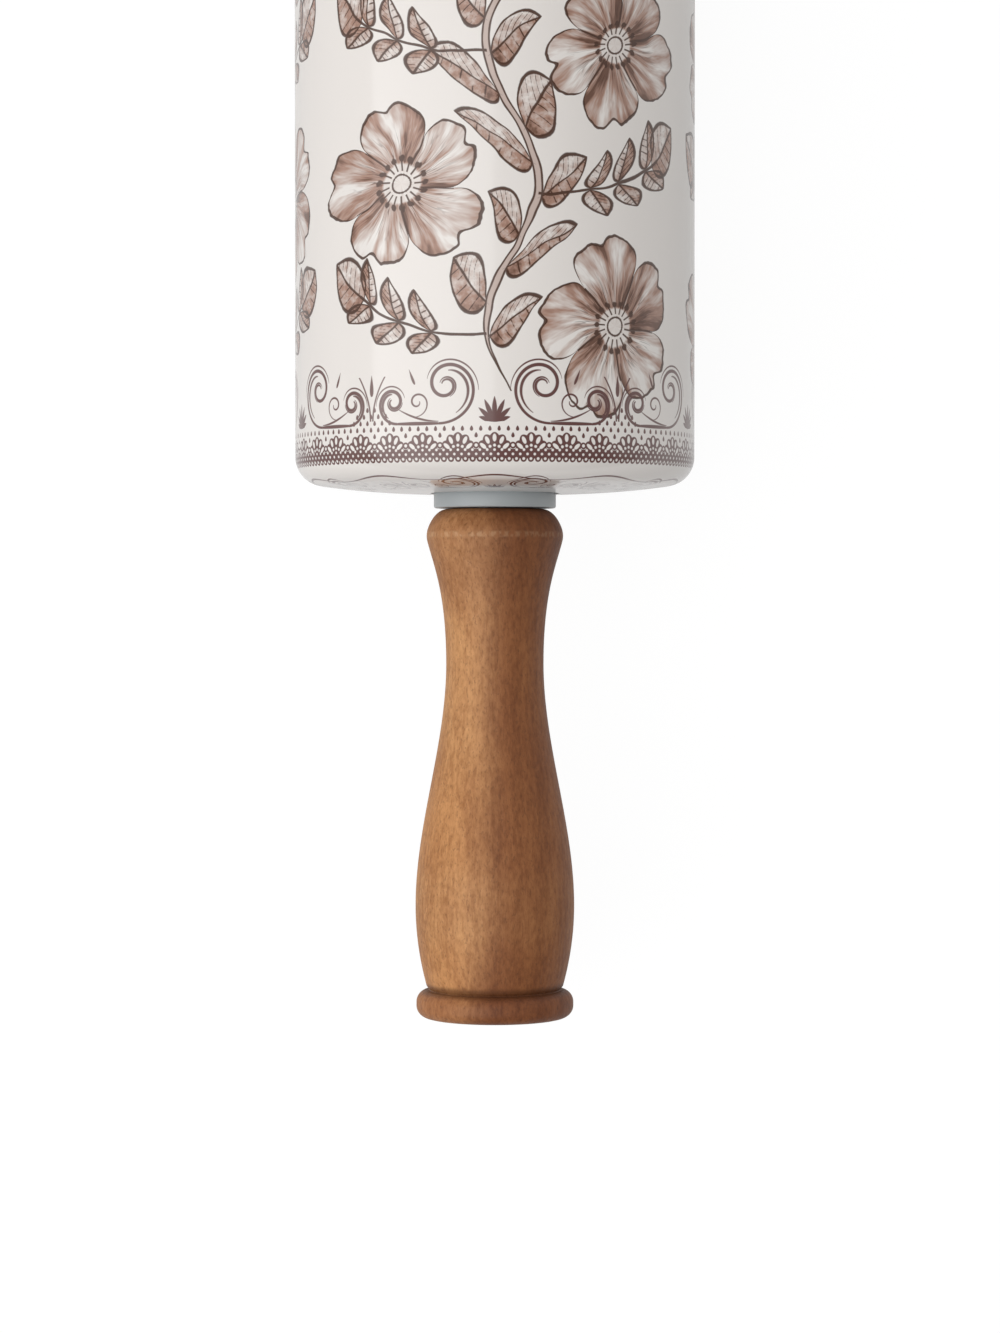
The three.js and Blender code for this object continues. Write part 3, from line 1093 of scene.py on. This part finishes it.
def handle_outside(handle):
    """Bead, neck, waist, belly, groove and end ring."""
    arris, waist, belly, groove, ring, end = handle_stations(handle)
    # The bead is part of an ellipse and ends this angle short of its widest place
    short = 0.4
    bead_reach = handle.shoulder_length / (1 - math.sin(short))
    bead_width = (handle.shoulder_radius - handle.mouth_radius) / math.cos(short)
    bead = [
        (handle.mouth_radius + bead_width * radius, handle.mouth + bead_reach * (1 + along))
        for radius, along in arc_points(0.0, 0.0, 1.0, -QUARTER, -short, 14)
    ]
    turn, draw, fall = 0.2 * handle.neck_length, 0.4 * handle.neck_length, 0.2
    neck = [
        (handle.shoulder_radius, arris),
        (handle.shoulder_radius - fall * turn, arris + turn),
        (handle.waist_radius, arris + draw),
        (handle.waist_radius, waist),
    ]
    before = [spot for spot in bead if spot[1] < arris - handle.arris_round]
    after = [spot for spot in curve_points(neck, 28) if spot[1] > arris + handle.arris_round]
    crest = curve_points([before[-1], neck[0], after[0]], 8)
    third = handle.swell_length / 3
    swell = [
        (handle.waist_radius, waist),
        (handle.waist_radius, waist + third),
        (handle.belly_radius, belly - third),
        (handle.belly_radius, belly),
    ]
    taper = [
        (handle.belly_radius, belly),
        (handle.belly_radius, belly + handle.belly_length / 2),
        (handle.throat_radius, groove),
    ]
    return [
        (handle.recess_radius, handle.mouth),
        *before,
        *crest[1:-1],
        *after,
        *curve_points(swell, 36)[1:],
        *curve_points(taper, 16)[1:],
        (handle.throat_radius - handle.groove_depth, ring - handle.groove_width / 4),
        *eased_rim(handle.ring_radius, ring, end, handle.ring_round, 10),
        (0.0, end),
    ]


class ROLLING_PIN_OT_handles(bpy.types.Operator):
    """Turn both wooden handles"""

    bl_idname = "rolling_pin.handles"
    bl_label = "Handles"

    def execute(self, context):
        handle = context.scene.rolling_pin.handle
        wood = wood_paint(handle)
        stretches = [(0.08, handle_bore(handle)), (0.92, handle_outside(handle))]
        turned_pair("turned_handle", stretches, wood, "handles", "handle", 128)
        return {"FINISHED"}


def lay_floor(stage, height):
    """White where it shows directly, and dimmer on the left where the glaze mirrors it."""
    half_size, glow, direct, dim = 4.0, 1.1, 0.85, 0.56
    bm = bmesh.new()
    bmesh.ops.create_grid(bm, x_segments=1, y_segments=1, size=half_size)
    bmesh.ops.translate(bm, verts=bm.verts[:], vec=(0.0, 0.0, height))
    paint = new_paint("white_floor")
    lit = paint.node("BsdfDiffuse", {}, {"Color": rgba(stage.floor)})
    white = paint.node("Emission", {}, {"Color": WHITE, "Strength": glow})
    rays = paint.node("LightPath", output="Is Camera Ray")
    aside = paint.split(paint.place())[1]
    brightness = dim + paint.ramp(aside, 0.04, 0.16) * (1 - dim)
    mirrored_floor = rays.other("Is Glossy Ray") * brightness
    shown = paint.most(rays, mirrored_floor, rays.other("Is Transmission Ray")) * direct
    surface = paint.node("MixShader", {}, {0: shown, 1: lit, 2: white})
    paint.node("OutputMaterial", {}, {0: surface})
    make_piece("floor", bm, paint.owner)


def place_camera(scene, stage, end_face):
    data = bpy.data.cameras.new("camera")
    data.lens = stage.lens
    data.clip_start = 0.01
    camera = bpy.data.objects.new("camera", data)
    ahead = Vector((math.sin(stage.pitch), 0.0, -math.cos(stage.pitch)))
    up = Vector((-math.cos(stage.pitch), 0.0, -math.sin(stage.pitch)))
    turn = Matrix((ahead.cross(up), up, -ahead)).transposed()
    spot = Vector((end_face + stage.foot, stage.offset, stage.height))
    camera.matrix_world = Matrix.Translation(spot) @ turn.to_4x4()
    scene.collection.objects.link(camera)
    scene.camera = camera


def hang_lights(scene, stage):
    """A broad soft light on the left and a dimmer one beside it overhead."""
    along = Vector((1.0, 0.0, 0.0))
    lamp_length = 1.1
    # Name, power, lean from overhead, width and place along the axle
    key = ("key", stage.key, math.radians(46), 0.98, 0.42)
    scrim = ("scrim", stage.scrim, math.radians(10), 0.34, 0.1)
    for name, power, lean, width, place in (key, scrim):
        data = bpy.data.lights.new(name, "AREA")
        data.energy = power
        data.shape = "RECTANGLE"
        data.size = lamp_length
        data.size_y = width
        lamp = bpy.data.objects.new(name, data)
        away = Vector((0.0, -math.sin(lean), math.cos(lean)))
        turn = Matrix((along, away.cross(along), away)).transposed()
        lamp.matrix_world = Matrix.Translation(away + along * place) @ turn.to_4x4()
        lamp.visible_camera = False
        scene.collection.objects.link(lamp)


def light_world(scene, stage):
    """Even light, weaker from beyond the handle; white where it shows directly."""
    paint = Paint(bpy.data.worlds.new("studio"))
    ahead, height = paint.split(paint.node("TexCoord", output="Generated"))[::2]
    rays = paint.node("LightPath", output="Is Camera Ray")
    shown = paint.most(rays, rays.other("Is Transmission Ray"))
    horizon, fall = 0.8, 0.45
    mirrored_sky = horizon - paint.ramp(height, 0.1, 0.8) * fall
    strength = stage.ambient + rays.other("Is Glossy Ray") * (mirrored_sky - stage.ambient)
    strength = strength * (1 - paint.ramp(ahead, -0.1, 0.5) * paint.ramp(height, 0.8, 0.2) * 0.9)
    strength = strength + shown * (1 - strength)
    sky = paint.node("Background", {}, {"Color": WHITE, "Strength": strength})
    paint.node("OutputWorld", {}, {0: sky})
    scene.world = paint.owner


class ROLLING_PIN_OT_stage(bpy.types.Operator):
    """Lay the floor and set the camera and the lights"""

    bl_idname = "rolling_pin.stage"
    bl_label = "Stage"

    def execute(self, context):
        settings = context.scene.rolling_pin
        stage = settings.stage
        context.scene.view_settings.view_transform = "Standard"
        lay_floor(stage, CAD_BOX[0].z)
        place_camera(context.scene, stage, settings.barrel.half)
        hang_lights(context.scene, stage)
        light_world(context.scene, stage)
        return {"FINISHED"}


class ROLLING_PIN_PT_panel(bpy.types.Panel):
    """Lists the pieces of the rolling pin and their settings"""

    bl_label = "Rolling Pin"
    bl_space_type = "VIEW_3D"
    bl_region_type = "UI"
    bl_category = "Rolling Pin"

    def draw(self, context):
        settings = context.scene.rolling_pin
        for group in (settings.barrel, settings.print, settings.handle, settings.bearing, settings.stage):
            box = self.layout.box()
            for name in group.bl_rna.properties.keys():
                if name not in {"rna_type", "name"}:
                    box.prop(group, name)
        for operator in OPERATORS:
            self.layout.operator(operator.bl_idname)


OPERATORS = (
    ROLLING_PIN_OT_stage,
    ROLLING_PIN_OT_barrel,
    ROLLING_PIN_OT_bearings,
    ROLLING_PIN_OT_axle,
    ROLLING_PIN_OT_fittings,
    ROLLING_PIN_OT_handles,
)
CLASSES = (
    BarrelSettings,
    PrintSettings,
    HandleSettings,
    BearingSettings,
    StageSettings,
    PinSettings,
    *OPERATORS,
    ROLLING_PIN_PT_panel,
)


def register():
    for cls in CLASSES:
        bpy.utils.register_class(cls)
    bpy.types.Scene.rolling_pin = PointerProperty(type=PinSettings)


def unregister():
    del bpy.types.Scene.rolling_pin
    for cls in reversed(CLASSES):
        bpy.utils.unregister_class(cls)


def main():
    register()
    bpy.ops.rolling_pin.stage()
    bpy.ops.rolling_pin.barrel()
    bpy.ops.rolling_pin.bearings()
    bpy.ops.rolling_pin.axle()
    bpy.ops.rolling_pin.fittings()
    bpy.ops.rolling_pin.handles()
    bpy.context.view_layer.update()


if __name__ == "__main__":
    main()
